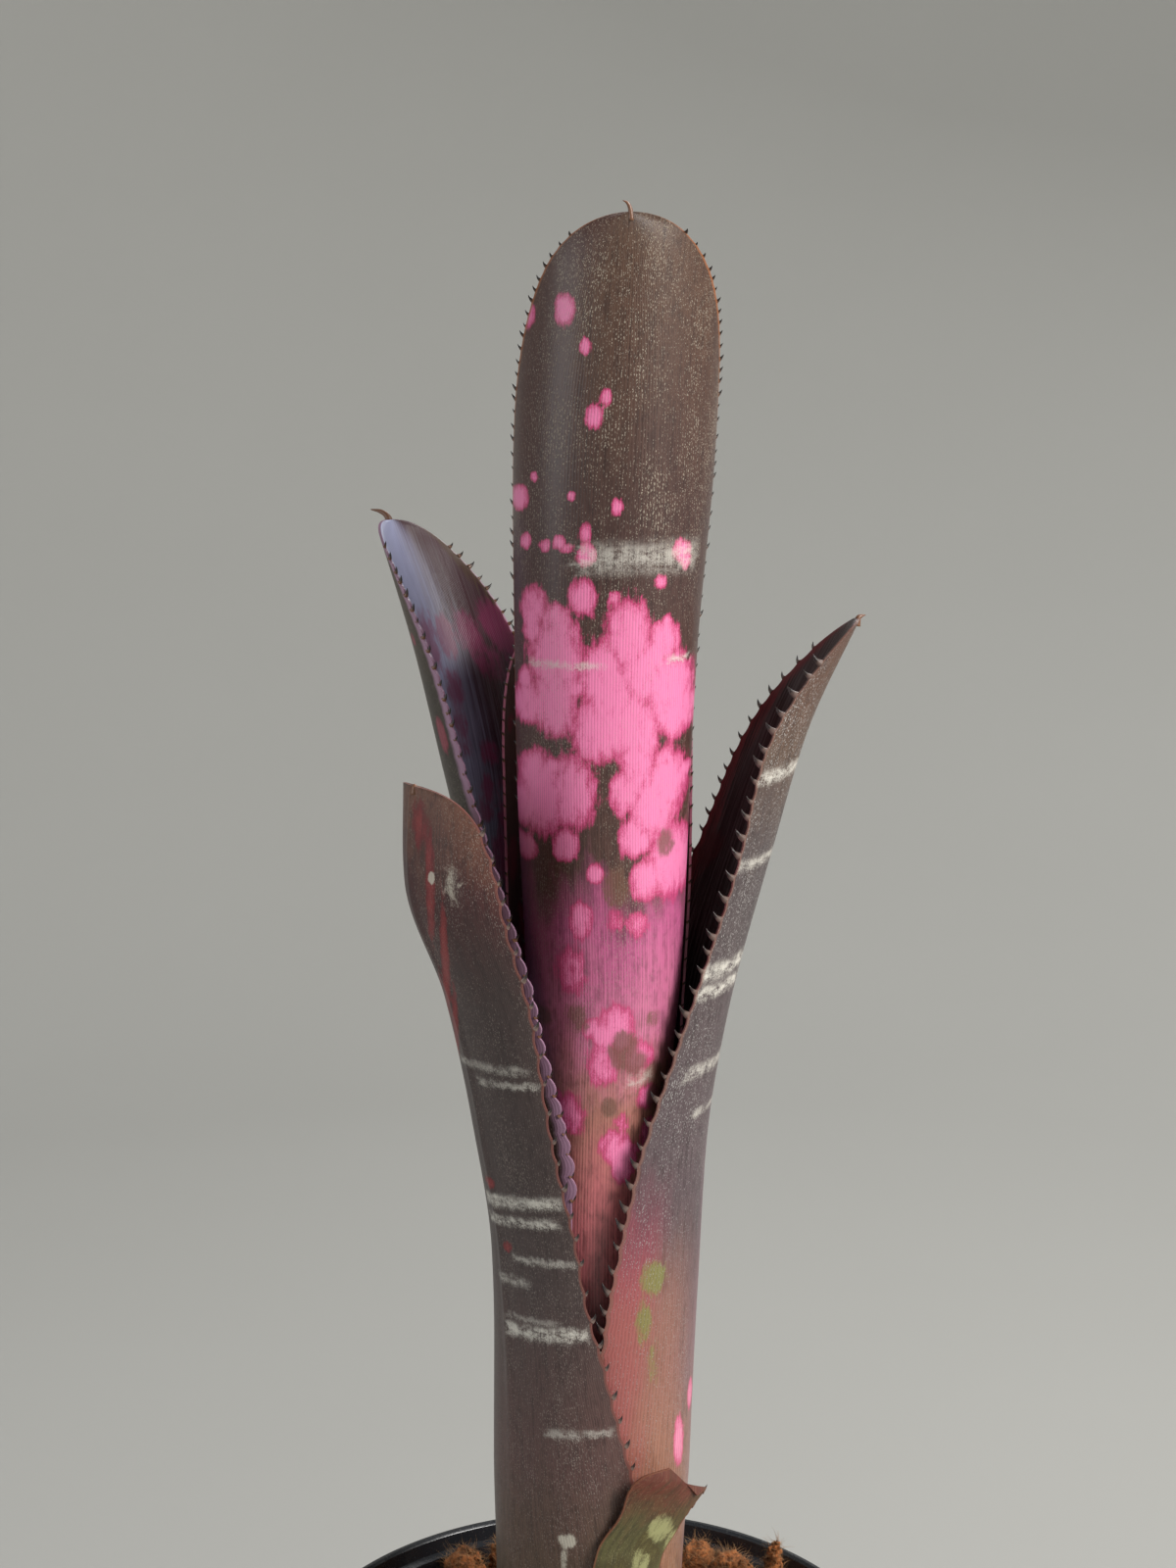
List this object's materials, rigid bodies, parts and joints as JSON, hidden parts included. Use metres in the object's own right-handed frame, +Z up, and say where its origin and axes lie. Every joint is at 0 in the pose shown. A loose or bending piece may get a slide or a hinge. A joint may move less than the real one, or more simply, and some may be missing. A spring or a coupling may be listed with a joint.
{
  "type": "potted bromeliad",
  "caption": "Slender tube-shaped bromeliad with upright, spine-edged, mottled pink and maroon leaves, growing in a tapered black nursery pot of coconut husk.",
  "frame": {"origin": "centre of the pot's flat underside, on the pot's axis", "axes": "+Z up along the pot's axis and the plant; -Y towards the viewer, the side on which the mottled leaf turns its back outwards; +X to the viewer's right"},
  "size_m": [0.13, 0.13, 0.4155],
  "materials": {
    "pot_plastic": "gloss",
    "husk_mix": "matte",
    "husk_chips": "matte",
    "stem": "matte",
    "leaf_mottled_pink": "satin",
    "leaf_crimson": "satin",
    "leaf_maroon": "satin",
    "leaf_grey_maroon": "satin",
    "leaf_grey_brown": "satin",
    "leaf_olive": "matte"
  },
  "bodies": {
    "root": {"pot": "pot_plastic", "potting_mix": "husk_mix", "rootstock": "stem", "leaf_centre": "leaf_mottled_pink", "leaf_back": "leaf_crimson", "leaf_back_left": "leaf_maroon", "leaf_right": "leaf_grey_maroon", "leaf_front_left": "leaf_grey_brown", "leaf_basal": "leaf_olive", "husk_block_left": "husk_chips", "husk_wad_left": "husk_chips", "husk_chip_back": "husk_chips", "husk_chip_back_right": "husk_chips", "husk_lump_right": "husk_chips", "husk_tuft_right": "husk_chips", "husk_chip_right": "husk_chips", "husk_chip_front_right": "husk_chips", "husk_curl_front": "husk_chips", "husk_chip_front": "husk_chips", "husk_chip_front_left": "husk_chips", "husk_curl_left": "husk_chips", "husk_lump_left": "husk_chips", "husk_chip_back_left": "husk_chips"}
  },
  "joints": []
}
